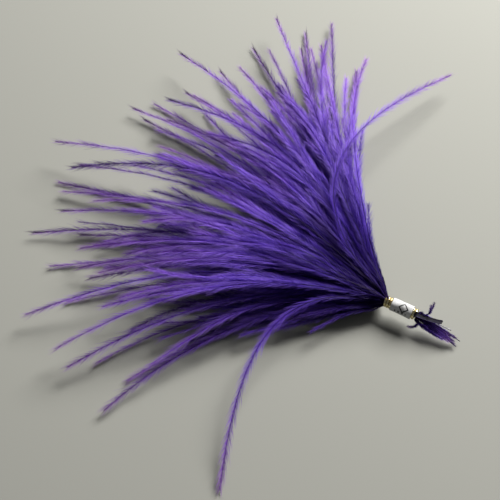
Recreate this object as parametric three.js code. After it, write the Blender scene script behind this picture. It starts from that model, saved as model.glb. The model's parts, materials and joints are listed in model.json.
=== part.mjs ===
// A tuft of dyed ostrich feather barbs, fanned out on a table. The barbs' root ends are gathered
// into a short round tie: a close coil of brass wire with a paper label wrapped round its middle.
// The split quill strips that carry the barbs run through the tie and stick out behind it.
//
// Millimetres, +Z up. +X runs along the tie towards the cut quill ends, and the fan opens
// towards -X. The tuft is built round the mouth of the tie, then the whole group is moved so
// that its origin is the middle of the bottom of its box, on the table.

import * as THREE from 'three';

// ---- Driving dimensions ----

const TIE_HEIGHT = 6.5; // the tie's axis above the table
const TIE_LENGTH = 14.4;
const CORE_RADIUS = 1.1; // packed barb roots and quill strips inside the tie

const WIRE_DIAMETER = 0.95;
const WIRE_GAP = 0.12; // between one turn and the next
const WIRE_CLEARANCE = 0.3; // wire to core, and wire to label
const WIRE_SIDES = 6;
const WIRE_STEPS_PER_TURN = 10;

const LABEL_LENGTH = 8.6;
const LABEL_START = 3.2; // bare wire between the mouth and the label
const LABEL_THICKNESS = 0.15;
const LABEL_SIDES = 24;

const ROOTS_DEPTH = 3; // how far the gathered roots reach into the tie
const ROOTS_REACH = 19.2; // from the mouth to where the barbs come free
const ROOTS_HALF_HEIGHT = 4;
const ROOTS_RISE = 1.4; // the middle of their free end above the tie's axis
const ROOTS_EDGES = [-54, 49]; // headings of the two sides of the gathered roots

const FREE_START = 21; // distance along a barb from the mouth to where it comes free
const HANDLE_REACH = 0.7; // how far a barb's Bezier handles reach towards its elbow
const ROOT_RADIUS = 0.28;
const FULL_RADIUS = 0.8;
const TIP_RADIUS = 0.22;
const BARB_SIDES = 6;
const BARB_STEPS = 10;

// The barbs lie in storeys one above the other. start is the height inside the mouth, measured
// from the tie's axis; crest and tip are heights above the table, crest as a Bezier handle.
const STOREYS = {
  bottom: { start: -0.9, crest: 2.4, tip: 0.45 },
  lower: { start: -0.3, crest: 8, tip: 3 },
  upper: { start: 0.3, crest: 14, tip: 6.5 },
  top: { start: 0.9, crest: 20, tip: 10 },
  drooping: { start: 0.9, crest: 16, tip: 0.45 },
  crossing: { start: 1, crest: 29, tip: 9 },
};

// The barbs that lie together in locks, each bowed evenly along its length:
// [heading of its tip, reach of its tip from the mouth, bow, storey].
// A heading is in degrees from -X, positive towards -Y. The bow is how far the barb turns,
// in degrees, between its root and its tip.
const LOCKS = {
  front_lock: [
    [53, 116, 46, 'lower'],
    [48, 104, 40, 'bottom'],
    [43, 125, 40, 'upper'],
    [42, 114, 38, 'bottom'],
    [39, 128, 36, 'top'],
  ],
  middle_lock: [
    [31, 140, 34, 'upper'],
    [27, 125, 32, 'bottom'],
    [24, 113, 31, 'top'],
    [22, 118, 30, 'lower'],
    [21, 122, 30, 'upper'],
    [20, 135, 30, 'bottom'],
    [18, 123, 29, 'top'],
    [15, 147, 38, 'lower'],
    [13, 128, 28, 'bottom'],
    [10, 138, 28, 'upper'],
    [7, 126, 27, 'top'],
    [5, 144, 28, 'lower'],
    [4, 149, 28, 'bottom'],
    [0, 143, 28, 'upper'],
    [-1, 157, 32, 'top'],
  ],
  back_lock: [
    [-12, 123, 26, 'lower'],
    [-15, 141, 26, 'bottom'],
    [-18, 130, 24, 'upper'],
    [-20, 110, 20, 'top'],
    [-15, 148, 34, 'lower'],
    [-20, 145, 26, 'bottom'],
    [-24, 137, 20, 'upper'],
    [-25, 132, 20, 'top'],
    [-33, 144, 12, 'lower'],
    [-37, 107, 8, 'bottom'],
    [-36, 139, 10, 'upper'],
    [-28, 157, 26, 'top'],
    [-42, 153, 3, 'bottom'],
    [-43, 145, 0, 'upper'],
    [-47, 160, -8, 'top'],
    [-49, 145, -13, 'lower'],
    [-51, 157, -10, 'bottom'],
    [-51, 140, -12, 'upper'],
    [-53, 138, -16, 'top'],
    [-56, 159, -20, 'lower'],
    [-59, 129, -21, 'bottom'],
    [-60, 124, -26, 'upper'],
    [-61, 129, -28, 'top'],
  ],
};

// The two barbs that stray from the fan bend more, and not evenly. The tip and the elbow, where
// the first and the last direction of the barb meet, are each [heading, reach from the mouth].
const LONE_BARBS = {
  front_lone_barb: { tip: [79, 99], elbow: [24, 55], storey: 'drooping' },
  back_lone_barb: { tip: [-79, 125], elbow: [-15, 70], storey: 'crossing' },
};

// ---- Materials ----

const material = (colour, roughness, metalness) =>
  new THREE.MeshStandardMaterial({ color: colour, roughness, metalness });

const DYED_BARB = material('#45209c', 0.7, 0);
const DYED_ROOTS = material('#22105c', 0.8, 0);
const DYED_QUILL = material('#15102e', 0.3, 0);
const BRASS = material('#c9a752', 0.3, 1);
const PAPER = material('#e6e3dc', 0.85, 0);

// ---- Geometry helpers ----

const UP = new THREE.Vector3(0, 0, 1);

// Bends a round bar along a path. radii(t) gives its half width and half height at t, from 0
// at the start of the path to 1 at its end.
function barAlong(path, sides, steps, radii) {
  const geometry = new THREE.CylinderGeometry(1, 1, 1, sides, steps);
  const spots = geometry.attributes.position;
  for (let i = 0; i < spots.count; i += 1) {
    const t = spots.getY(i) + 0.5;
    const [halfWidth, halfHeight] = radii(t);
    const forward = path.getTangent(t);
    const side = new THREE.Vector3().crossVectors(forward, UP).normalize();
    const above = new THREE.Vector3().crossVectors(side, forward);
    const spot = path.getPoint(t)
      .addScaledVector(side, spots.getX(i) * halfWidth)
      .addScaledVector(above, spots.getZ(i) * halfHeight);
    spots.setXYZ(i, spot.x, spot.y, spot.z);
  }
  return geometry;
}

function named(name, geometry, look) {
  const mesh = new THREE.Mesh(geometry, look);
  mesh.name = name;
  return mesh;
}

const headingAngle = (heading) => THREE.MathUtils.degToRad(180 + heading);

// ---- Free barbs ----

// A point given by its heading and its reach from the mouth, at a height above the table.
function placeAt([heading, reach], height) {
  const angle = headingAngle(heading);
  return new THREE.Vector3(reach * Math.cos(angle), reach * Math.sin(angle), height);
}

// A barb's centre line, from inside the mouth to its tip. Seen from above, it leaves the mouth
// towards the elbow and comes to its tip from the elbow.
function barbPath(tipPlace, elbowPlace, { start, crest, tip }) {
  const root = new THREE.Vector3(0, 0, TIE_HEIGHT + start);
  const end = placeAt(tipPlace, tip);
  const elbow = placeAt(elbowPlace, crest);
  const handle = (from) => from.clone().lerp(elbow, HANDLE_REACH).setZ(crest);
  return new THREE.CubicBezierCurve3(root, handle(root), handle(end), end);
}

// The stretch of a curve from one of its points to its end.
class Stretch extends THREE.Curve {
  constructor(whole, from) {
    super();
    this.whole = whole;
    this.from = from;
  }

  getPoint(t, target) {
    return this.whole.getPoint(this.from + (1 - this.from) * t, target);
  }
}

// A barb thickens from its root to a third of its length and thins to a fine tip.
function barbRadii(t) {
  const swell = Math.sin(Math.PI * Math.min(1, t / 0.7) / 2);
  const thin = t < 0.35 ? 1 : Math.cos(Math.PI / 2 * (t - 0.35) / 0.65);
  const radius = ROOT_RADIUS + (FULL_RADIUS - ROOT_RADIUS) * swell;
  const tapered = TIP_RADIUS + (radius - TIP_RADIUS) * thin;
  return [tapered, tapered];
}

function freeBarb(name, path) {
  const free = new Stretch(path, path.getUtoTmapping(0, FREE_START));
  return named(name, barAlong(free, BARB_SIDES, BARB_STEPS, barbRadii), DYED_BARB);
}

function makeLock(lockName, barbs) {
  const lock = new THREE.Group();
  barbs.forEach(([heading, reach, bow, storey], index) => {
    const halfBow = THREE.MathUtils.degToRad(bow / 2);
    const elbow = [heading - bow / 2, reach / (2 * Math.cos(halfBow))];
    const number = String(index + 1).padStart(2, '0');
    lock.add(freeBarb(`${lockName}_barb_${number}`, barbPath([heading, reach], elbow, STOREYS[storey])));
  });
  return lock;
}

// ---- Gathered roots ----

// The barbs' packed root ends: a round plug inside the tie, and from its mouth a wedge that
// flattens and fans out to where the barbs come free. Every line of the wedge is straight.
function gatheredRoots() {
  const steps = 6; // the first one is the plug, and the others are the wedge
  const geometry = new THREE.CylinderGeometry(1, 1, 1, 28, steps);
  const spots = geometry.attributes.position;
  const [backEdge, frontEdge] = ROOTS_EDGES;
  for (let i = 0; i < spots.count; i += 1) {
    const across = spots.getX(i);
    const rise = spots.getZ(i);
    const step = (0.5 - spots.getY(i)) * steps;
    const opened = Math.max(0, (step - 1) / (steps - 1));
    const inTie = ROOTS_DEPTH * Math.max(0, 1 - step);
    const atTie = new THREE.Vector3(inTie, -across * CORE_RADIUS, rise * CORE_RADIUS);
    const angle = headingAngle(THREE.MathUtils.lerp(backEdge, frontEdge, (across + 1) / 2));
    const atEnd = new THREE.Vector3(
      ROOTS_REACH * Math.cos(angle),
      ROOTS_REACH * Math.sin(angle),
      ROOTS_RISE + rise * ROOTS_HALF_HEIGHT,
    );
    const spot = atTie.lerp(atEnd, opened);
    spots.setXYZ(i, spot.x, spot.y, spot.z + TIE_HEIGHT);
  }
  return named('gathered_roots', geometry, DYED_ROOTS);
}

// ---- Tie ----

class Helix extends THREE.Curve {
  constructor(radius, pitch, turns) {
    super();
    Object.assign(this, { radius, pitch, turns });
  }

  getPoint(t, target = new THREE.Vector3()) {
    const angle = 2 * Math.PI * this.turns * t;
    return target.set(
      this.pitch * this.turns * t,
      this.radius * Math.cos(angle),
      this.radius * Math.sin(angle),
    );
  }
}

const COIL_RADIUS = CORE_RADIUS + WIRE_CLEARANCE + WIRE_DIAMETER / 2;

function bindingWire() {
  const pitch = WIRE_DIAMETER + WIRE_GAP;
  const turns = Math.floor((TIE_LENGTH - WIRE_DIAMETER) / pitch);
  const section = new THREE.Shape();
  section.absarc(0, 0, WIRE_DIAMETER / 2, 0, 2 * Math.PI, false);
  const geometry = new THREE.ExtrudeGeometry(section, {
    curveSegments: WIRE_SIDES,
    steps: turns * WIRE_STEPS_PER_TURN,
    extrudePath: new Helix(COIL_RADIUS, pitch, turns),
  });
  geometry.translate(WIRE_DIAMETER / 2, 0, TIE_HEIGHT);
  return named('binding_wire', geometry, BRASS);
}

// The label is a sleeve whose facets are turned so that one of them faces straight down.
function paperLabel() {
  const inner = COIL_RADIUS + WIRE_DIAMETER / 2 + WIRE_CLEARANCE;
  const outer = inner + LABEL_THICKNESS;
  const corners = (radius) => Array.from({ length: LABEL_SIDES }, (_, i) => {
    const angle = 2 * Math.PI * (i + 0.5) / LABEL_SIDES;
    return new THREE.Vector2(radius * Math.cos(angle), radius * Math.sin(angle));
  });
  const ring = new THREE.Shape(corners(outer));
  ring.holes.push(new THREE.Path(corners(inner).reverse()));
  const geometry = new THREE.ExtrudeGeometry(ring, { depth: LABEL_LENGTH, bevelEnabled: false });
  geometry.rotateY(Math.PI / 2);
  geometry.translate(LABEL_START, 0, TIE_HEIGHT);
  return named('paper_label', geometry, PAPER);
}

// ---- Quill strips and stub barbs ----

const STRIP_START = ROOTS_DEPTH + 0.4; // just behind the gathered roots

// The widest strip is half of a split quill: round below, and flat on top with a shallow groove
// where the pith shows. Behind the tie it turns a little towards +Y, and it is cut off square.
function wideQuillStrip() {
  const length = 20.4;
  const halfWidth = 0.95;
  const turn = 1.4; // how far its cut end lies to the side
  const section = new THREE.Shape();
  section.moveTo(-halfWidth, 0);
  section.absarc(0, 0, halfWidth, Math.PI, 2 * Math.PI, false);
  section.lineTo(halfWidth * 0.55, 0);
  section.quadraticCurveTo(0, -halfWidth * 0.6, -halfWidth * 0.55, 0);
  section.closePath();
  const geometry = new THREE.ExtrudeGeometry(section, {
    depth: length, steps: 12, curveSegments: 6, bevelEnabled: false,
  });
  geometry.scale(1, 0.85, 1);
  geometry.rotateX(Math.PI / 2);
  geometry.rotateZ(Math.PI / 2);
  geometry.translate(STRIP_START, 0, TIE_HEIGHT + 0.45);
  const spots = geometry.attributes.position;
  for (let i = 0; i < spots.count; i += 1) {
    const behind = Math.max(0, spots.getX(i) - TIE_LENGTH) / (STRIP_START + length - TIE_LENGTH);
    spots.setY(i, spots.getY(i) + turn * behind ** 2);
  }
  return named('wide_quill_strip', geometry, DYED_QUILL);
}

// The thin strips lie under the wide one inside the tie and bend down towards the table.
function thinStrip(name, end, insideOffset, halfWidth) {
  const inside = TIE_HEIGHT - 0.75; // under the wide strip
  const path = new THREE.CatmullRomCurve3([
    new THREE.Vector3(STRIP_START, insideOffset, inside),
    new THREE.Vector3(TIE_LENGTH * 0.6, insideOffset, inside),
    new THREE.Vector3(TIE_LENGTH + 0.5, insideOffset, inside),
    new THREE.Vector3(...end).lerp(new THREE.Vector3(TIE_LENGTH, insideOffset, inside + 0.7), 0.5),
    new THREE.Vector3(...end),
  ]);
  return named(name, barAlong(path, 6, 12, () => [halfWidth, halfWidth * 0.8]), DYED_QUILL);
}

// Two stub barbs were cut short with the strips. Each springs from beside a strip, just behind
// the tie: one stands up at the back, and one points forwards under the tie.
function stubBarb(name, ...points) {
  const path = new THREE.QuadraticBezierCurve3(...points.map((point) => new THREE.Vector3(...point)));
  return named(name, barAlong(path, BARB_SIDES, 6, (t) => [0.5 - 0.25 * t, 0.5 - 0.25 * t]), DYED_BARB);
}

const tail = [
  wideQuillStrip(),
  thinStrip('long_front_strip', [32, -2.6, 1.5], -0.6, 0.25),
  thinStrip('long_back_strip', [32.4, 0.1, 1.8], 0, 0.25),
  thinStrip('short_strip', [27.9, 1.4, 4.3], 0.6, 0.25),
  stubBarb('stub_barb_back', [16.9, 1.9, 7.2], [18.2, 3.2, 7.6], [17.2, 4.9, 10.6]),
  stubBarb('stub_barb_front', [16.2, -2, 4.8], [14.8, -3.2, 3], [11.6, -3.8, 2.2]),
];

// ---- Assembly ----

const tuft = new THREE.Group();
tuft.add(gatheredRoots(), bindingWire(), paperLabel(), ...tail);
Object.entries(LOCKS).forEach(([name, barbs]) => tuft.add(makeLock(name, barbs)));
Object.entries(LONE_BARBS).forEach(([name, { tip, elbow, storey }]) => {
  tuft.add(freeBarb(name, barbPath(tip, elbow, STOREYS[storey])));
});

const box = new THREE.Box3().setFromObject(tuft);
const middle = box.getCenter(new THREE.Vector3());
tuft.position.set(-middle.x, -middle.y, -box.min.z);

const assembly = new THREE.Group();
assembly.name = 'feather_tuft';
assembly.add(tuft);

export default assembly;
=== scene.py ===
import json
import math
import random

import bpy
import numpy
from mathutils import Matrix, Vector


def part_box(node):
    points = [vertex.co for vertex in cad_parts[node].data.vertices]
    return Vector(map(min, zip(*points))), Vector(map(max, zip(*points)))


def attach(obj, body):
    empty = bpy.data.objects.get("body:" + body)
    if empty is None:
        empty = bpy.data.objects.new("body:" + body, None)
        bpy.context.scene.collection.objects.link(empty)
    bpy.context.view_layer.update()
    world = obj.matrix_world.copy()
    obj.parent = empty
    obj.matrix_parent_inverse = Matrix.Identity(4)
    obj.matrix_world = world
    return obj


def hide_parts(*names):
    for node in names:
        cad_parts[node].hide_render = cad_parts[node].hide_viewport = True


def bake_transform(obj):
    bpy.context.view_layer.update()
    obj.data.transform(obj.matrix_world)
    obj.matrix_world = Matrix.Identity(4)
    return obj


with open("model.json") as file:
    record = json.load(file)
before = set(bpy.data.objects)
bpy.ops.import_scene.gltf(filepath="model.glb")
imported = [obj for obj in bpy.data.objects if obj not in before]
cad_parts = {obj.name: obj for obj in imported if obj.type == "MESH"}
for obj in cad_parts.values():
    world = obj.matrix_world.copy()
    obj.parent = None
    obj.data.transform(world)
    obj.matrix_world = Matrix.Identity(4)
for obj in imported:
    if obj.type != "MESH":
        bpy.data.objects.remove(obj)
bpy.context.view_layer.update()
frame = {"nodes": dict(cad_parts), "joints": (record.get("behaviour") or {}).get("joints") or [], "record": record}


# Camera, floor and light. The tuft lies on a plain pale floor, seen from above and in front at
# arm's length. A soft window light comes from behind the cut quill ends, and a weak one fills.

mouth = Vector(frame["joints"][0]["pos_m"])  # the middle of the tie's mouth, where the barbs leave it
floor_height = 0.0

CAMERA_AZIMUTH = math.radians(29)
CAMERA_ELEVATION = math.radians(55)
CAMERA_DISTANCE = 0.434
CAMERA_AIM = Vector((mouth.x - 0.0598, mouth.y - 0.0006, floor_height))

camera = bpy.data.objects.new("camera", bpy.data.cameras.new("camera"))
bpy.context.scene.collection.objects.link(camera)
towards_camera = Vector((
    math.sin(CAMERA_AZIMUTH) * math.cos(CAMERA_ELEVATION),
    -math.cos(CAMERA_AZIMUTH) * math.cos(CAMERA_ELEVATION),
    math.sin(CAMERA_ELEVATION),
))
camera.location = CAMERA_AIM + towards_camera * CAMERA_DISTANCE
camera.rotation_euler = towards_camera.to_track_quat("Z", "Y").to_euler()
camera.data.lens = 76
camera.data.clip_start = 0.01
bpy.context.scene.camera = camera
bpy.context.scene.view_settings.view_transform = "Standard"


def add_window(name, azimuth, elevation, distance, size, power, colour):
    """A soft area light at an azimuth counted like the camera's, aimed at the middle of the tuft."""
    turn, lift = math.radians(azimuth), math.radians(elevation)
    towards = Vector((
        math.sin(turn) * math.cos(lift),
        -math.cos(turn) * math.cos(lift),
        math.sin(lift),
    ))
    light = bpy.data.objects.new(name, bpy.data.lights.new(name, "AREA"))
    bpy.context.scene.collection.objects.link(light)
    light.data.size = size
    light.data.energy = power
    light.data.color = colour
    light.location = CAMERA_AIM + towards * distance
    light.rotation_euler = towards.to_track_quat("Z", "Y").to_euler()


add_window(
    "window", azimuth=172, elevation=37, distance=1.0, size=0.5, power=23.5, colour=(1, 0.99, 0.96))
add_window(
    "fill", azimuth=-20, elevation=60, distance=1.5, size=1.2, power=0.15, colour=(0.95, 0.97, 1))

world = bpy.data.worlds.new("studio")
bpy.context.scene.world = world
world.use_nodes = True
room_light = world.node_tree.nodes["Background"]
room_light.inputs["Color"].default_value = (0.96, 0.97, 1, 1)
room_light.inputs["Strength"].default_value = 0.08

bpy.ops.object.select_all(action="DESELECT")
bpy.ops.mesh.primitive_plane_add(size=4, location=(0, 0, floor_height))
floor = bpy.context.object
floor.name = "floor"
floor_paint = bpy.data.materials.new("floor_paint")
floor_paint.use_nodes = True
floor_shader = floor_paint.node_tree.nodes["Principled BSDF"]
floor_shader.inputs["Base Color"].default_value = (0.31, 0.31, 0.283, 1)
floor_shader.inputs["Roughness"].default_value = 0.9
floor.data.materials.append(floor_paint)


# Quill strips: the barbs were stripped from the feather with slices of its split quill, dyed
# almost black. The widest is half a quill, round below, with its pale pith bared in a groove on
# top. It passes through the tie and is cut off square behind it.

STRIP_TURN = 0.0014  # how far its cut end lies to the side
strip_low, strip_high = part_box("wide_quill_strip")
tie_low, tie_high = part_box("binding_wire")
STRIP_LENGTH = strip_high.x - strip_low.x
STRIP_TOP = strip_high.z
STRIP_HALF_WIDTH = 0.00098
GROOVE_SHARE = 0.68  # of the strip's width
GROOVE_DEPTH = 0.00032
STRIP_STATIONS = 24


def finish_place(piece):
    """Puts a piece's place and turn into its mesh, so that its object sits at the origin."""
    bpy.ops.object.select_all(action="DESELECT")
    piece.select_set(True)
    bpy.context.view_layer.objects.active = piece
    bpy.ops.object.transform_apply(location=True, rotation=True, scale=True)


def apply_modifiers(piece):
    bpy.context.view_layer.objects.active = piece
    for modifier in list(piece.modifiers):
        bpy.ops.object.modifier_apply(modifier=modifier.name)


def select_faces(piece, wanted):
    """Selects the faces of a piece in edit mode that wanted(face) picks, and no others."""
    bpy.ops.mesh.select_mode(type="FACE")
    bpy.ops.mesh.select_all(action="DESELECT")
    bpy.ops.object.mode_set(mode="OBJECT")
    for face in piece.data.polygons:
        face.select = wanted(face)
    bpy.ops.object.mode_set(mode="EDIT")


def new_material(name):
    """A node material, with its node tree and its Principled BSDF."""
    material = bpy.data.materials.new(name)
    material.use_nodes = True
    return material, material.node_tree, material.node_tree.nodes["Principled BSDF"]


def add_node(tree, kind, **settings):
    """Adds a shader node. A setting that isn't a property of the node sets the input of that name."""
    node = tree.nodes.new(kind)
    for name, value in settings.items():
        if hasattr(node, name):
            setattr(node, name, value)
        else:
            node.inputs[name.replace("_", " ").title()].default_value = value
    return node


def colour_ramp(tree, factor, *stops):
    """A colour ramp fed by factor, with stops of (place, colour)."""
    ramp = tree.nodes.new("ShaderNodeValToRGB")
    while len(ramp.color_ramp.elements) < len(stops):
        ramp.color_ramp.elements.new(0.5)
    for element, (place, colour) in zip(ramp.color_ramp.elements, stops):
        element.position = place
        element.color = (*colour, 1)
    tree.links.new(factor, ramp.inputs["Fac"])
    return ramp.outputs["Color"]


def grey_ramp(tree, factor, *stops):
    """A colour ramp of greys, for a roughness, a height or a mask."""
    return colour_ramp(tree, factor, *((place, (grey, grey, grey)) for place, grey in stops))


def add_bump(tree, shader, height, strength, distance):
    bump = add_node(tree, "ShaderNodeBump", Strength=strength, Distance=distance)
    tree.links.new(height, bump.inputs["Height"])
    tree.links.new(bump.outputs["Normal"], shader.inputs["Normal"])


def build_grain_group():
    """Noise on an object's own coordinates, drawn out along the tie's axis."""
    group = bpy.data.node_groups.new("lengthwise_grain", "ShaderNodeTree")
    group.interface.new_socket("Place", in_out="INPUT", socket_type="NodeSocketVector")
    group.interface.new_socket("Scale", in_out="INPUT", socket_type="NodeSocketFloat")
    group.interface.new_socket("Thinness", in_out="INPUT", socket_type="NodeSocketFloat")
    group.interface.new_socket("Grain", in_out="OUTPUT", socket_type="NodeSocketFloat")
    given = group.nodes.new("NodeGroupInput")
    result = group.nodes.new("NodeGroupOutput")
    stretch = add_node(group, "ShaderNodeCombineXYZ", Y=1, Z=1)
    draw_out = add_node(group, "ShaderNodeMapping")
    noise = add_node(group, "ShaderNodeTexNoise", Detail=4)
    group.links.new(given.outputs["Thinness"], stretch.inputs["X"])
    group.links.new(stretch.outputs["Vector"], draw_out.inputs["Scale"])
    group.links.new(given.outputs["Place"], draw_out.inputs["Vector"])
    group.links.new(draw_out.outputs["Vector"], noise.inputs["Vector"])
    group.links.new(given.outputs["Scale"], noise.inputs["Scale"])
    group.links.new(noise.outputs["Fac"], result.inputs["Grain"])
    return group


GRAIN_GROUP = build_grain_group()


def lengthwise_grain(tree, scale, stretch):
    """Places the grain group in a material, and gives its output."""
    place = add_node(tree, "ShaderNodeTexCoord")
    grain = add_node(tree, "ShaderNodeGroup", node_tree=GRAIN_GROUP, Scale=scale, Thinness=1 / stretch)
    tree.links.new(place.outputs["Object"], grain.inputs["Place"])
    return grain.outputs["Grain"]


quill_skin, tree, shader = new_material("dyed_quill_skin")
grain = lengthwise_grain(tree, scale=3500, stretch=14)
skin_colour = colour_ramp(
    tree, grain, (0.35, (0.004, 0.002, 0.016)), (0.6, (0.016, 0.007, 0.06)), (0.75, (0.07, 0.04, 0.19)))
tree.links.new(skin_colour, shader.inputs["Base Color"])
tree.links.new(grey_ramp(tree, grain, (0.3, 0.16), (0.7, 0.34)), shader.inputs["Roughness"])
shader.inputs["Coat Weight"].default_value = 0.4
shader.inputs["Coat Roughness"].default_value = 0.15
add_bump(tree, shader, grain, strength=0.4, distance=0.00005)

quill_pith, tree, shader = new_material("quill_pith")
grain = lengthwise_grain(tree, scale=5000, stretch=5)
pith_colour = colour_ramp(
    tree, grain, (0.35, (0.003, 0.002, 0.008)), (0.55, (0.008, 0.007, 0.016)), (0.72, (0.035, 0.03, 0.05)))
tree.links.new(pith_colour, shader.inputs["Base Color"])
shader.inputs["Roughness"].default_value = 0.7
shader.inputs["Specular IOR Level"].default_value = 0.15
add_bump(tree, shader, grain, strength=0.8, distance=0.0001)

bpy.ops.object.select_all(action="DESELECT")
bpy.ops.mesh.primitive_cylinder_add(
    vertices=32, radius=STRIP_HALF_WIDTH, depth=STRIP_LENGTH, rotation=(0, math.pi / 2, 0),
    location=(strip_low.x + STRIP_LENGTH / 2, mouth.y, STRIP_TOP))
strip = bpy.context.object
strip.name = "split_quill"
finish_place(strip)
bpy.ops.object.mode_set(mode="EDIT")
bpy.ops.mesh.select_all(action="SELECT")
bpy.ops.mesh.bisect(plane_co=(0, 0, STRIP_TOP), plane_no=(0, 0, 1), use_fill=True, clear_outer=True)
select_faces(strip, lambda face: face.normal.z > 0.9)
bpy.ops.mesh.inset(thickness=STRIP_HALF_WIDTH * 0.3)
bpy.ops.transform.translate(value=(0, 0, -GROOVE_DEPTH))
bpy.ops.object.mode_set(mode="OBJECT")
strip.data.materials.append(quill_skin)
strip.data.materials.append(quill_pith)
for face in strip.data.polygons:
    in_groove = abs(face.center.y - mouth.y) < STRIP_HALF_WIDTH * GROOVE_SHARE
    face.material_index = int(in_groove and face.normal.z > 0.5)
bpy.ops.object.mode_set(mode="EDIT")
for i in range(1, STRIP_STATIONS):
    bpy.ops.mesh.select_all(action="SELECT")
    bpy.ops.mesh.bisect(
        plane_co=(strip_low.x + STRIP_LENGTH * i / STRIP_STATIONS, 0, 0), plane_no=(1, 0, 0))
bpy.ops.object.mode_set(mode="OBJECT")
rounding = strip.modifiers.new("rounding", "BEVEL")
rounding.width = 0.00005
rounding.segments = 2
rounding.limit_method = "ANGLE"
apply_modifiers(strip)
for vertex in strip.data.vertices:
    behind = max(0.0, vertex.co.x - tie_high.x) / (strip_high.x - tie_high.x)
    around = math.atan2(vertex.co.z - STRIP_TOP, vertex.co.y - mouth.y)
    vertex.co.z = STRIP_TOP + (vertex.co.z - STRIP_TOP) * (0.85 - 0.1 * behind)
    vertex.co.y += STRIP_TURN * behind ** 2
    vertex.co.x -= 0.0002 * behind ** 8 * (1 + math.sin(3 * around + 1))
    vertex.co.z += 0.00003 * math.sin(vertex.co.x * 2600 + 2 * around)
bpy.ops.object.shade_smooth_by_angle(angle=math.radians(35))
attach(strip, "tie")
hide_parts("wide_quill_strip")


# The thin strips are slivers of the same quill, each with the last barb it carried. They lie
# under the wide one in the tie and droop behind it, down to the table.

THIN_STRIP_RADIUS = 0.00026
SLIVER_STATIONS = 36


def centre_line(node):
    """The middle points of the rings of a CAD bar, from the tie outwards."""
    spots = sorted((vertex.co.copy() for vertex in frame["nodes"][node].data.vertices),
                   key=lambda spot: (spot - mouth).length)
    rings, ring = [], [spots[0]]
    for before, spot in zip(spots, spots[1:]):
        if (spot - mouth).length - (before - mouth).length > 0.0014:
            rings.append(ring)
            ring = []
        ring.append(spot)
    rings.append(ring)
    return [sum(ring, Vector()) / len(ring) for ring in rings]


def route_length(points):
    return sum((b - a).length for a, b in zip(points, points[1:]))


def bend_along(piece, length, points):
    """Stretches a straight piece, length long from the origin along +X, over a route."""
    curve = bpy.data.curves.new(piece.name + "_route", "CURVE")
    curve.dimensions = "3D"
    curve.twist_mode = "Z_UP"
    curve.resolution_u = 8
    spline = curve.splines.new("NURBS")
    spline.points.add(len(points) - 1)
    for point, spot in zip(spline.points, points):
        point.co = (*spot, 1)
    spline.order_u = 4
    spline.use_endpoint_u = True
    route = bpy.data.objects.new(piece.name + "_route", curve)
    bpy.context.scene.collection.objects.link(route)
    piece.data.transform(Matrix.Diagonal((route_length(points) / length, 1, 1, 1)))
    follow = piece.modifiers.new("follow", "CURVE")
    follow.object = route
    follow.deform_axis = "POS_X"
    apply_modifiers(piece)
    bpy.data.objects.remove(route)
    bpy.data.curves.remove(curve)


def add_straight_bar(name, sides, stations):
    """A closed bar from the origin along +X, 1 long and 1 in radius, with rings along it."""
    bpy.ops.object.select_all(action="DESELECT")
    bpy.ops.mesh.primitive_cylinder_add(
        vertices=sides, radius=1, depth=1, end_fill_type="TRIFAN",
        rotation=(0, math.pi / 2, 0), location=(0.5, 0, 0))
    bar = bpy.context.object
    bar.name = name
    finish_place(bar)
    bpy.ops.object.mode_set(mode="EDIT")
    bpy.ops.mesh.select_mode(type="EDGE")
    bpy.ops.mesh.select_all(action="DESELECT")
    bpy.ops.object.mode_set(mode="OBJECT")
    for edge in bar.data.edges:
        first, last = (bar.data.vertices[i].co.x for i in edge.vertices)
        edge.select = abs(first - last) > 0.5
    bpy.ops.object.mode_set(mode="EDIT")
    bpy.ops.mesh.subdivide(number_cuts=stations)
    bpy.ops.object.mode_set(mode="OBJECT")
    return bar


for node in ("long_front_strip", "long_back_strip", "short_strip"):
    chance = random.Random(node)
    line = centre_line(node)
    line[0] = line[0] + Vector((0.0002, 0, 0))
    sliver = add_straight_bar(node + "_sliver", 10, SLIVER_STATIONS)
    phase = chance.uniform(0, 6)
    for vertex in sliver.data.vertices:
        t = vertex.co.x
        narrow = THIN_STRIP_RADIUS * (1 - 0.25 * t) * (1 + 0.08 * math.sin(17 * t + phase))
        vertex.co = (t, vertex.co.y * narrow, vertex.co.z * narrow * 0.75)
    bend_along(sliver, 1, line)
    sliver.data.materials.append(quill_skin)
    bpy.ops.object.select_all(action="DESELECT")
    sliver.select_set(True)
    bpy.ops.object.shade_smooth_by_angle(angle=math.radians(45))
    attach(sliver, "tie")
    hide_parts(node)


# Binding wire: soft brass wire, close-wound round the roots and the quill strips from the mouth
# of the tie to its back end. It is drawn bright, so it is smooth, with a little brown tarnish.

WIRE_RADIUS = 0.00049
WIRE_PITCH = 0.00107
COIL_RADIUS = (tie_high.y - tie_low.y) / 2 - WIRE_RADIUS + 0.00003
WIRE_TURNS = round((tie_high.x - tie_low.x - 2 * WIRE_RADIUS) / WIRE_PITCH)

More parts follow.
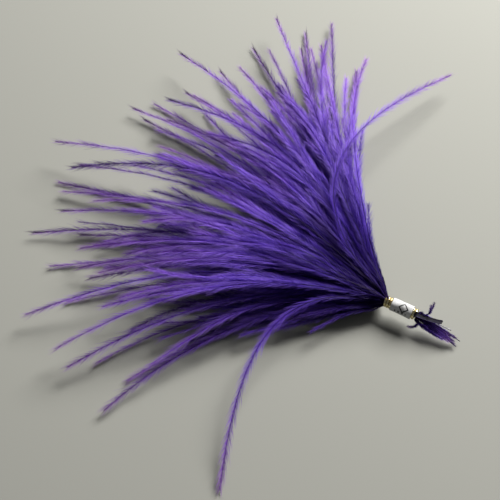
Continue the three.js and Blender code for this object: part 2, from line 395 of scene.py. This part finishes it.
bpy.ops.object.select_all(action="DESELECT")
bpy.ops.mesh.primitive_circle_add(
    vertices=16, radius=WIRE_RADIUS, location=(0, 0, COIL_RADIUS), rotation=(math.pi / 2, 0, 0))
coil = bpy.context.object
coil.name = "brass_wire_coil"
finish_place(coil)
screw = coil.modifiers.new("turns", "SCREW")
screw.axis = "X"
screw.iterations = WIRE_TURNS
screw.screw_offset = WIRE_PITCH
screw.steps = screw.render_steps = 36
apply_modifiers(coil)
bpy.ops.object.mode_set(mode="EDIT")
bpy.ops.mesh.select_all(action="DESELECT")
bpy.ops.mesh.select_non_manifold()
bpy.ops.mesh.fill_holes(sides=0)
bpy.ops.mesh.select_all(action="SELECT")
bpy.ops.mesh.normals_make_consistent(inside=False)
bpy.ops.object.mode_set(mode="OBJECT")
for vertex in coil.data.vertices:
    turn = math.atan2(vertex.co.y, vertex.co.z)
    vertex.co.x += 0.00005 * math.sin(2 * turn + 900 * vertex.co.x)
bpy.ops.object.shade_smooth_by_angle(angle=math.radians(50))
coil.location = (tie_low.x + WIRE_RADIUS, mouth.y, mouth.z)
finish_place(coil)

brass, tree, shader = new_material("drawn_brass")
shader.inputs["Metallic"].default_value = 1
place = add_node(tree, "ShaderNodeTexCoord")
tarnish = add_node(tree, "ShaderNodeTexNoise", Scale=700, Detail=4)
tree.links.new(place.outputs["Object"], tarnish.inputs["Vector"])
tree.links.new(
    colour_ramp(tree, tarnish.outputs["Fac"], (0.38, (0.5, 0.38, 0.17)), (0.55, (0.9, 0.81, 0.5))),
    shader.inputs["Base Color"])
tree.links.new(
    grey_ramp(tree, tarnish.outputs["Fac"], (0.35, 0.36), (0.65, 0.16)), shader.inputs["Roughness"])
coil.data.materials.append(brass)
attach(coil, "tie")
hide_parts("binding_wire")


# Paper label: a strip of white paper rolled once round the coil and glued down where its ends
# overlap. It carries a printed outline mark and a row of dashes, in place of any lettering.

LABEL_THICKNESS = 0.00012
LABEL_OVERLAP = math.radians(65)
LABEL_SEAM = math.radians(205)  # where its outer end lies, turning from the top towards -Y
label_low, label_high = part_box("paper_label")
LABEL_LENGTH = label_high.x - label_low.x
LABEL_RADIUS = COIL_RADIUS + WIRE_RADIUS + 0.00009

bpy.ops.object.select_all(action="DESELECT")
bpy.ops.mesh.primitive_grid_add(x_subdivisions=16, y_subdivisions=96, size=1)
label = bpy.context.object
label.name = "rolled_paper_label"
for vertex in label.data.vertices:
    along, around = vertex.co.x + 0.5, vertex.co.y + 0.5
    turn = around * (2 * math.pi + LABEL_OVERLAP)
    overlapping = max(0.0, (turn - 2 * math.pi) / LABEL_OVERLAP)
    lifted = min(1.0, overlapping * 4) * LABEL_THICKNESS * 1.4 + overlapping ** 6 * 0.0001
    flared = 0.00012 * along ** 3
    dented = 0.00004 * math.sin(5 * turn + 7 * along) + 0.00003 * math.sin(11 * along - 3 * turn)
    radius = LABEL_RADIUS + lifted + flared + dented
    angle = LABEL_SEAM - LABEL_OVERLAP / 2 + turn
    vertex.co = (
        label_low.x + along * LABEL_LENGTH + 0.00012 * math.sin(angle + 1),
        mouth.y - radius * math.sin(angle),
        mouth.z + radius * math.cos(angle),
    )
bpy.ops.object.mode_set(mode="EDIT")
bpy.ops.mesh.select_all(action="SELECT")
bpy.ops.mesh.normals_make_consistent(inside=False)
bpy.ops.object.mode_set(mode="OBJECT")
wall = label.modifiers.new("wall", "SOLIDIFY")
wall.thickness = LABEL_THICKNESS
wall.offset = 1
apply_modifiers(label)
bpy.ops.object.shade_smooth_by_angle(angle=math.radians(40))


def maths(tree, operation, *values):
    """A math node whose inputs are sockets or numbers, and its output."""
    node = add_node(tree, "ShaderNodeMath", operation=operation)
    for value, socket in zip(values, node.inputs):
        if isinstance(value, (int, float)):
            socket.default_value = value
        else:
            tree.links.new(value, socket)
    return node.outputs["Value"]


# The mark's places on the label's own map: how far along it, and how far round from its start.
MARK_ALONG = 0.58
MARK_AROUND = 0.505
DIAMOND_LENGTH = 0.0018
DIAMOND_WIDTH = 0.0017
INK_WIDTH = 0.2
DASHES_AROUND = 0.625
DASH_STEP = 0.0016
DASH_WIDTH = 0.00042
DASH_SHARE = 0.45  # of each step
DASH_ROW_REACH = 0.28  # to either side of the label's middle, as a share of its length
LABEL_GIRTH = LABEL_RADIUS * (2 * math.pi + LABEL_OVERLAP)

paper, tree, shader = new_material("printed_paper")
label_map = add_node(tree, "ShaderNodeUVMap")
map_parts = add_node(tree, "ShaderNodeSeparateXYZ")
tree.links.new(label_map.outputs["UV"], map_parts.inputs["Vector"])
label_along = map_parts.outputs["X"]
label_around = map_parts.outputs["Y"]


def distance_from(tree, place, middle):
    return maths(tree, "ABSOLUTE", maths(tree, "SUBTRACT", place, middle))


out_along = maths(
    tree, "MULTIPLY", distance_from(tree, label_along, MARK_ALONG), LABEL_LENGTH / DIAMOND_LENGTH)
out_around = maths(
    tree, "MULTIPLY", distance_from(tree, label_around, MARK_AROUND), LABEL_GIRTH / DIAMOND_WIDTH)
diamond_edge = distance_from(tree, maths(tree, "ADD", out_along, out_around), 1)
diamond = maths(tree, "LESS_THAN", diamond_edge, INK_WIDTH)
dash_row = maths(
    tree, "LESS_THAN", distance_from(tree, label_around, DASHES_AROUND), DASH_WIDTH / LABEL_GIRTH)
dash_beat = maths(tree, "FRACT", maths(tree, "MULTIPLY", label_along, LABEL_LENGTH / DASH_STEP))
dash_ink = maths(tree, "LESS_THAN", dash_beat, DASH_SHARE)
dash_span = maths(tree, "LESS_THAN", distance_from(tree, label_along, 0.5), DASH_ROW_REACH)
dashes = maths(tree, "MULTIPLY", maths(tree, "MULTIPLY", dash_row, dash_ink), dash_span)
ink = maths(tree, "MAXIMUM", diamond, dashes)
place = add_node(tree, "ShaderNodeTexCoord")
fibres = add_node(tree, "ShaderNodeTexNoise", Scale=1400, Detail=5)
tree.links.new(place.outputs["Object"], fibres.inputs["Vector"])
paper_colour = colour_ramp(
    tree, fibres.outputs["Fac"], (0.3, (0.5, 0.5, 0.5)), (0.7, (0.66, 0.66, 0.67)))


def mix_colours(tree, factor, first, second, blend="MIX"):
    """Mixes two colours, each a socket or a plain colour, by a socket or a number."""
    node = add_node(tree, "ShaderNodeMix", data_type="RGBA", blend_type=blend)
    ends = [socket for socket in node.inputs if socket.type == "RGBA"]
    for value, socket in zip((factor, first, second), (node.inputs[0], *ends)):
        if isinstance(value, (int, float)):
            socket.default_value = value
        elif isinstance(value, tuple):
            socket.default_value = (*value, 1)
        else:
            tree.links.new(value, socket)
    return next(socket for socket in node.outputs if socket.type == "RGBA")


tree.links.new(mix_colours(tree, ink, paper_colour, (0.02, 0.02, 0.024)), shader.inputs["Base Color"])
paper_roughness = grey_ramp(tree, fibres.outputs["Fac"], (0.3, 0.85), (0.7, 0.6))
tree.links.new(paper_roughness, shader.inputs["Roughness"])
add_bump(tree, shader, fibres.outputs["Fac"], strength=0.3, distance=0.00005)
label.data.materials.append(paper)
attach(label, "tie")
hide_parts("paper_label")


# Barbs: each is a thin dark stem, dyed through, with soft barbules on both sides that sweep
# towards its tip. A few straight strands are made first, and each barb is one of them, cut to
# length and bent along its own route.

STEM_RADIUS = 0.00017
STEM_STATIONS = 56
BARBULE_SPACING = 0.00024
BARBULE_WIDTH = 0.00013
# How long the barbules are (m), and how far they lean from the stem (degrees), by the place on it.
BARBULE_REACH = {0: 0.0022, 0.12: 0.0046, 0.35: 0.0062, 0.8: 0.0060, 0.96: 0.0050, 1: 0.0034}
BARBULE_LEAN = {0: 9, 0.15: 17, 0.4: 27, 0.85: 30, 1: 24}
STRAND_LENGTHS = [0.15, 0.15, 0.15, 0.12, 0.12, 0.12, 0.09, 0.09, 0.06, 0.06, 0.03, 0.015]


def add_sliver():
    """The points of one barbule, 1 long and 1 wide: a flat sliver of two faces."""
    bpy.ops.object.select_all(action="DESELECT")
    bpy.ops.mesh.primitive_grid_add(x_subdivisions=2, y_subdivisions=1, size=1)
    sliver = bpy.context.object
    for vertex in sliver.data.vertices:
        vertex.co.x += 0.5
        vertex.co.y *= 1 - 0.8 * vertex.co.x
    shape = numpy.array([vertex.co for vertex in sliver.data.vertices])
    faces = numpy.array([polygon.vertices for polygon in sliver.data.polygons])
    bpy.data.objects.remove(sliver)
    return shape, faces


def write_dye_and_shade(mesh, values):
    """Keeps on each vertex how far along the barb it is, how far out along a barbule, a chance that differs from
    barbule to barbule, and the tone of the whole barb, which holds painted shade for barbs low in the tuft."""
    attribute = mesh.attributes.new("dye_and_shade", "FLOAT_COLOR", "POINT")
    attribute.data.foreach_set("color", numpy.asarray(values, numpy.float32).ravel())


def add_fringe(name, length, chance):
    """The barbules on both sides of a straight strand. There are hundreds of them, so the points
    of one sliver are copied into a single mesh and leant, rolled and curved there."""
    shape, faces = add_sliver()
    count = int((length - 0.001) / BARBULE_SPACING)
    fluff = min(1.0, 0.2 + length / 0.1)
    verts, polys, dye_and_shade = [], [], []
    for side in (1, -1):
        place = (numpy.arange(count) + chance.uniform(-0.4, 0.4, count)) * BARBULE_SPACING + 0.0004
        t = place / length
        phases = chance.uniform(0, 2 * math.pi, 4)
        clump = numpy.sin(place * 1400 + phases[0]) + numpy.sin(place * 3100 + phases[1])
        reach = numpy.interp(t, list(BARBULE_REACH), list(BARBULE_REACH.values()))
        reach = fluff * reach * chance.uniform(0.45, 1.15, count) * (1 + 0.12 * clump)
        lean = numpy.interp(t, list(BARBULE_LEAN), list(BARBULE_LEAN.values()))
        lean = numpy.radians(lean + 3.5 * clump + chance.normal(0, 5, count))
        twist = 22 * numpy.sin(place * 70 + phases[2]) + 12 * numpy.sin(place * 420 + phases[3])
        roll = numpy.radians(twist + side * 8 + chance.normal(0, 17, count))
        u = shape[:, 0][None, :]
        w = shape[:, 1][None, :] * BARBULE_WIDTH
        out = reach[:, None] * numpy.sin(lean)[:, None] * (u - 0.36 * u ** 2)
        forward = reach[:, None] * (numpy.cos(lean)[:, None] * u + 0.06 * u ** 2)
        off = out + w * numpy.cos(lean)[:, None]
        away = numpy.stack([
            place[:, None] + forward - w * numpy.sin(lean)[:, None],
            side * off * numpy.cos(roll)[:, None],
            side * off * numpy.sin(roll)[:, None],
        ], axis=-1)
        first = len(verts) * count * len(shape)
        verts.append(away.reshape(-1, 3))
        starts = (numpy.arange(count) * len(shape) + first)[:, None, None]
        polys.append((faces[None] + starts).reshape(-1, 4))
        shares = numpy.broadcast_arrays(
            t[:, None], 0.15 + 0.85 * u, chance.uniform(0, 1, count)[:, None], 0.5)
        dye_and_shade.append(numpy.stack(shares, axis=-1).reshape(-1, 4))
    mesh = bpy.data.meshes.new(name)
    mesh.from_pydata(numpy.concatenate(verts).tolist(), [], numpy.concatenate(polys).tolist())
    write_dye_and_shade(mesh, numpy.concatenate(dye_and_shade))
    fringe = bpy.data.objects.new(name, mesh)
    bpy.context.scene.collection.objects.link(fringe)
    return fringe


def make_strand(name, length, seed):
    """A straight strand from the origin along +X: its stem with its fringe of barbules."""
    chance = numpy.random.default_rng(seed)
    stem = add_straight_bar(name, 5, max(8, int(STEM_STATIONS * length / 0.12)))
    dye_and_shade = []
    for vertex in stem.data.vertices:
        t = vertex.co.x
        radius = STEM_RADIUS * (1 - 0.8 * t)
        vertex.co = (t * length, vertex.co.y * radius, vertex.co.z * radius * 1.5)
        dye_and_shade.append((t, 0, 0.5, 0.5))
    write_dye_and_shade(stem.data, dye_and_shade)
    fringe = add_fringe(name + "_fringe", length, chance)
    bpy.ops.object.select_all(action="DESELECT")
    fringe.select_set(True)
    stem.select_set(True)
    bpy.context.view_layer.objects.active = stem
    bpy.ops.object.join()
    return stem


STRANDS = [make_strand(f"strand_{i}", length, seed=i + 1) for i, length in enumerate(STRAND_LENGTHS)]


def rest_on_floor(mesh):
    """Lifts whatever would reach into the floor until it lies on it."""
    spots = numpy.empty(len(mesh.vertices) * 3, numpy.float32)
    mesh.vertices.foreach_get("co", spots)
    spots[2::3] = numpy.maximum(spots[2::3], floor_height + 0.0001)
    mesh.vertices.foreach_set("co", spots)


def lay_strand(name, points, chance, tone, span=1.0, roll=0.3):
    """Lays a copy of the best fitting strand along a route, rolled by chance. The tone is how light the barb is
    drawn: partly its dye, and for barbs low in the tuft painted shade. The span is how much of a full barb's
    change of colour it shows."""
    size = route_length(points)
    misfit = [abs(math.log(size / length)) for length in STRAND_LENGTHS]
    fitting = [i for i, off in enumerate(misfit) if off < min(misfit) + 0.02]
    pick = chance.choice(fitting)
    strand = bpy.data.objects.new(name, STRANDS[pick].data.copy())
    bpy.context.scene.collection.objects.link(strand)
    strand.data.transform(Matrix.Rotation(chance.gauss(0, roll), 4, "X"))
    bend_along(strand, STRAND_LENGTHS[pick], points)
    rest_on_floor(strand.data)
    attribute = strand.data.attributes["dye_and_shade"]
    dye_and_shade = numpy.empty(len(strand.data.vertices) * 4, numpy.float32)
    attribute.data.foreach_get("color", dye_and_shade)
    dye_and_shade[0::4] *= span
    dye_and_shade[3::4] = tone
    attribute.data.foreach_set("color", dye_and_shade)
    return strand


def join_strands(name, strands, material):
    bpy.ops.object.select_all(action="DESELECT")
    for strand in strands:
        strand.select_set(True)
    bpy.context.view_layer.objects.active = strands[0]
    if len(strands) > 1:
        bpy.ops.object.join()
    joined = bpy.context.view_layer.objects.active
    joined.name = name
    joined.data.materials.clear()
    joined.data.materials.append(material)
    return joined


dyed_barb_and_shade, tree, shader = new_material("dyed_barb_and_shade")
dye_and_shade = add_node(tree, "ShaderNodeAttribute", attribute_name="dye_and_shade")
parts = add_node(tree, "ShaderNodeSeparateColor")
tree.links.new(dye_and_shade.outputs["Color"], parts.inputs["Color"])
along, outward, spread = (parts.outputs[name] for name in ("Red", "Green", "Blue"))
# Both ramps darken towards the root: partly the barbs' dye, partly painted shade where they crowd into the neck.
body_colour = colour_ramp(
    tree, along,
    (0.0, (0.004, 0.001, 0.045)), (0.2, (0.012, 0.002, 0.15)), (0.45, (0.06, 0.011, 0.42)),
    (0.8, (0.17, 0.05, 0.5)), (1.0, (0.16, 0.06, 0.28)))
pale_colour = colour_ramp(
    tree, along,
    (0.0, (0.010, 0.002, 0.10)), (0.25, (0.12, 0.05, 0.56)),
    (0.5, (0.37, 0.21, 0.92)), (1.0, (0.42, 0.26, 0.56)))
paling = grey_ramp(tree, outward, (0.15, 0.0), (0.45, 0.35), (1.0, 0.9))
barbule_colour = mix_colours(tree, paling, body_colour, pale_colour)
# The chance of each barbule and the tone of its barb set how far it is darkened: random patches, and painted shade
# on barbs low in the tuft. Towards the tips the darkening fades out.
patches_and_height_shade = maths(tree, "ADD", maths(tree, "MULTIPLY", spread, 0.5), dye_and_shade.outputs["Alpha"])
deep_shade = grey_ramp(tree, patches_and_height_shade, (0.2, 0.2), (0.85, 1.0))
shade = maths(tree, "MAXIMUM", deep_shade, grey_ramp(tree, along, (0.5, 0.0), (0.95, 0.8)))
shaded = mix_colours(tree, 1.0, barbule_colour, shade, blend="MULTIPLY")
on_stem = grey_ramp(tree, outward, (0.02, 1.0), (0.12, 0.0))
stem_colour = colour_ramp(tree, along, (0.3, (0.010, 0.002, 0.035)), (1.0, (0.06, 0.02, 0.15)))
tree.links.new(mix_colours(tree, on_stem, shaded, stem_colour), shader.inputs["Base Color"])
tree.links.new(grey_ramp(tree, spread, (0.0, 0.38), (1.0, 0.6)), shader.inputs["Roughness"])
shader.inputs["Specular IOR Level"].default_value = 0.2
shader.inputs["Specular Tint"].default_value = (0.6, 0.45, 1, 1)
shader.inputs["Sheen Weight"].default_value = 0.05
shader.inputs["Sheen Roughness"].default_value = 0.35
shader.inputs["Sheen Tint"].default_value = (0.6, 0.42, 1, 1)


PACKED_RADIUS = 0.0009  # of the stems where they go into the tie


def from_mouth(first, chance):
    """The start of a route: inside the tie, its mouth, and on towards the first free point."""
    away = first - mouth
    heading = math.atan2(away.y, -away.x)
    lift = max(-PACKED_RADIUS, min(PACKED_RADIUS, (away.z - 0.003) * 0.2))
    packed = Vector((0, math.sin(heading) * PACKED_RADIUS, lift))
    packed += Vector((0, chance.gauss(0, 0.0003), chance.gauss(0, 0.0003)))
    return [
        mouth + Vector((0.003, 0, 0)) + packed * 0.7,
        mouth + Vector((0.0003, 0, 0)) + packed,
        mouth + away * 0.1 + packed * 2.1,
        mouth + away * 0.45 + packed * 1.4,
    ]


def wandering(points, chance, reach, turn, curl, lift, wave):
    """A neighbour of a route: cut short, turned about the mouth, curled more, lifted and waved."""
    phase = chance.uniform(0, 2 * math.pi)
    waves = chance.uniform(3.5, 6)
    route = []
    for i in range(len(points)):
        t = (i + 1) / len(points)
        place = reach * i
        before = min(int(place), len(points) - 2)
        away = points[before].lerp(points[before + 1], place - before) - mouth
        away.rotate(Matrix.Rotation(turn + curl * t * t, 3, "Z"))
        beside = Vector((-away.y, away.x, 0)).normalized()
        away += beside * wave * t * math.sin(phase + waves * t)
        spot = mouth + away
        spot.z += lift * math.sin(math.pi * min(1, t * 1.2))
        spot.z += 0.4 * wave * t * math.cos(phase + waves * t)
        spot.z = max(floor_height + 0.0011, spot.z)
        route.append(spot)
    return route


def tone_and_height_shade(points, chance):
    """Barbs low in the tuft are drawn with a lower tone, as painted shade; the tone also differs at random from
    barb to barb.
    """
    height = points[len(points) // 2].z / 0.016
    return max(0.0, min(1.0, 0.15 + 0.45 * height + chance.gauss(0, 0.16)))


TUFT_SIDES = (-48, 28)  # degrees from -X, positive towards -Y
RIDGE_STEP = 11  # degrees
RIDGE_PULL = math.radians(2.6)
MOST_CURL = 12  # degrees


def tip_heading(line):
    away = line[-1] - mouth
    return math.degrees(math.atan2(-away.y, -away.x))


def inwards(angle, line):
    """Near either side of the tuft, turns an angle so that it points back towards the middle."""
    if tip_heading(line) < TUFT_SIDES[0]:
        return abs(angle)
    if tip_heading(line) > TUFT_SIDES[1]:
        return -abs(angle)
    return angle


def gathered(line):
    """How far a neighbour of a barb leans over towards the nearest ridge of barbs that cling."""
    return -RIDGE_PULL * math.sin(2 * math.pi * (tip_heading(line) - TUFT_SIDES[0]) / RIDGE_STEP)


def chance_angle(chance, spread, most):
    return math.radians(max(-most, min(most, chance.gauss(0, spread))))


# The neighbours of each barb: how far along it they reach, and their spread to its sides (degrees).
NEIGHBOURS = [(0.84, 1.2), (0.68, 1.8), (0.6, 2.2), (0.52, 2.8), (0.45, 3.4), (0.38, 4.2)]
bodies = frame["record"]["behaviour"]["bodies"]
for lock in bodies:
    if lock == "tie":
        continue
    lone = len(bodies[lock]) == 1
    for node in bodies[lock]:
        chance = random.Random(node)
        line = centre_line(node)
        small_wave = 0.0003 if lone else 0.0016
        routes = [(1, wandering(line, chance, reach=1, turn=0, curl=0, lift=0, wave=small_wave))]
        for reach, spread in [] if lone else NEIGHBOURS:
            routes.append((reach, wandering(
                line, chance, reach=reach * chance.uniform(0.9, 1.06),
                turn=gathered(line) + inwards(chance_angle(chance, spread, 2 * spread), line),
                curl=inwards(chance_angle(chance, MOST_CURL / 2, MOST_CURL), line),
                lift=chance.gauss(0.0004, 0.0016), wave=chance.uniform(0.0006, 0.0024))))
        # Barbs low in the tuft get a lower tone, which the barb material turns into painted shade.
        strands = []
        for i, (reach, route) in enumerate(routes):
            strands.append(lay_strand(
                f"{node}_{i}", from_mouth(route[0], chance) + route, chance,
                tone=0.45 if lone else tone_and_height_shade(route, chance),
                span=0.15 + 0.85 * reach, roll=0.1 if lone else 0.3))
        barb = join_strands(node + "_strands", strands, dyed_barb_and_shade)
        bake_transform(barb)
        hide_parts(node)


# Gathered roots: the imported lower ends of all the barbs, and the short weak barbs among them.
# They fill the neck of the tuft, from inside the tie to where the fan opens.

ROOT_STRANDS = 64
ROOT_HEADINGS = (-53, 47)  # degrees from -X, positive towards -Y, at the two sides of the neck
ROOT_MARGIN = 0.0014  # between the outermost stems and the CAD solid's top and bottom
ROOT_FREE_START = 0.35  # where the free part starts, as a share of a root's reach
roots_low, roots_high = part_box("gathered_roots")
chance = random.Random(11)
strands = []
for i in range(ROOT_STRANDS):
    share = (i + 0.5) / ROOT_STRANDS
    heading = math.radians(ROOT_HEADINGS[0] + (ROOT_HEADINGS[1] - ROOT_HEADINGS[0]) * share)
    reach = chance.uniform(0.026, 0.062)
    layer = chance.random()
    bend = math.radians(chance.gauss(0, 5))
    height = roots_low.z + ROOT_MARGIN + (roots_high.z - roots_low.z - 2 * ROOT_MARGIN) * layer
    route = []
    for step in range(1, 7):
        t = ROOT_FREE_START + (1 - ROOT_FREE_START) * step / 6
        angle = heading + bend * t
        climb = math.sin(math.pi / 2 * min(1, t * 1.3))
        route.append(Vector((
            mouth.x - reach * t * math.cos(angle),
            mouth.y - reach * t * math.sin(angle),
            mouth.z + (height - mouth.z) * climb - 0.002 * t * t * layer,
        )))
    points = from_mouth(route[0], chance) + route
    # Lower roots get a lower tone: painted shade under the roots above them.
    strands.append(lay_strand(f"root_{i}", points, chance, tone=0.1 + 0.35 * layer, span=0.5))
roots = join_strands("packed_barb_roots", strands, dyed_barb_and_shade)
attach(roots, "tie")
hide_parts("gathered_roots")


# Stub barbs: two barbs cut short together with the quill strips. One stands up behind the
# wide strip, and the other points forwards under the tie.

# Their routes, in millimetres from the middle of the tie's mouth.
STUB_ROUTES = {
    "stub_barb_back": [
        (16.2, 0.7, 0.2), (17.7, 2, 0.6), (17.9, 2.7, 1.6), (17.6, 3.5, 2.9), (17.3, 4.2, 4)],
    "stub_barb_front": [
        (15.2, -0.6, -0.9), (15.6, -2, -1.9), (14.6, -3.1, -3.2), (13.2, -3.6, -4), (12, -3.8, -4.2)],
}
STUB_STRANDS = 3
STUB_SCATTER = 0.0003
for node, route in STUB_ROUTES.items():
    chance = random.Random(node)
    strands = []
    for i in range(STUB_STRANDS):
        drift = Vector([chance.gauss(0, STUB_SCATTER * i) for axis in "xyz"])
        drift.z = abs(drift.z)
        shares = (0, 0.2, 0.5, 0.8, 1)
        points = [mouth + Vector(spot) / 1000 + drift * share for spot, share in zip(route, shares)]
        strands.append(lay_strand(f"{node}_{i}", points, chance, tone=0.9, span=1))
    stub = join_strands(node + "_strands", strands, dyed_barb_and_shade)
    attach(stub, "tie")
    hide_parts(node)


# Tail down: the last short barbs and loose barbules that stayed on the quill strips. They hug
# the strips behind the tie and turn pale and thin between the two long ones.

front_line = centre_line("long_front_strip")
back_line = centre_line("long_back_strip")
TAIL_START = 0.445  # where the strips leave the tie, as a share of the rings along them
# How many strands, how far along the long strips they reach, how far to the side of them and
# under them (m), and the tone and span of their dye: packed ones, behind the wide strip, and pale.
TAIL_GROUPS = [
    (34, (0.3, 0.75), (-0.0013, 0.0011), (-0.0002, 0.0011), 0.6, 0.5),
    (9, (0.15, 0.45), (0.0006, 0.0014), (-0.0009, 0.0002), 0.5, 0.5),
    (18, (0.7, 0.97), (-0.0004, 0.0004), (-0.0004, 0.0004), 0.95, 1.0),
]


def spot_between(share, along_it, reach):
    """A spot between the two long strips, by the share across from the front one to the back one."""
    place = (TAIL_START + (1 - TAIL_START) * reach * along_it) * (len(front_line) - 1)
    ring = min(int(place), len(front_line) - 2)
    front_spot = front_line[ring].lerp(front_line[ring + 1], place - ring)
    back_spot = back_line[ring].lerp(back_line[ring + 1], place - ring)
    return front_spot.lerp(back_spot, share)


chance = random.Random(5)
strands = []
for count, reaches, sides, depths, tone, span in TAIL_GROUPS:
    for i in range(count):
        share = chance.random()
        reach = chance.uniform(*reaches)
        beside = chance.uniform(*sides)
        under = chance.uniform(*depths)
        points = []
        for step in range(7):
            along_it = step / 6
            spot = spot_between(share * 1.5 - 0.25, along_it, reach)
            swell = 0.85 + 0.75 * math.sin(math.pi * along_it)
            spot.y += beside * swell
            spot.z += 0.0006 * math.sin(9 * share + 1) * along_it - under * swell
            spot.z = max(floor_height + 0.0009, spot.z)
            points.append(spot)
        strands.append(lay_strand(f"tail_{len(strands)}", points, chance, tone=tone, span=span))
tail = join_strands("tail_down", strands, dyed_barb_and_shade)
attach(tail, "tie")

for strand in STRANDS:
    bpy.data.objects.remove(strand)
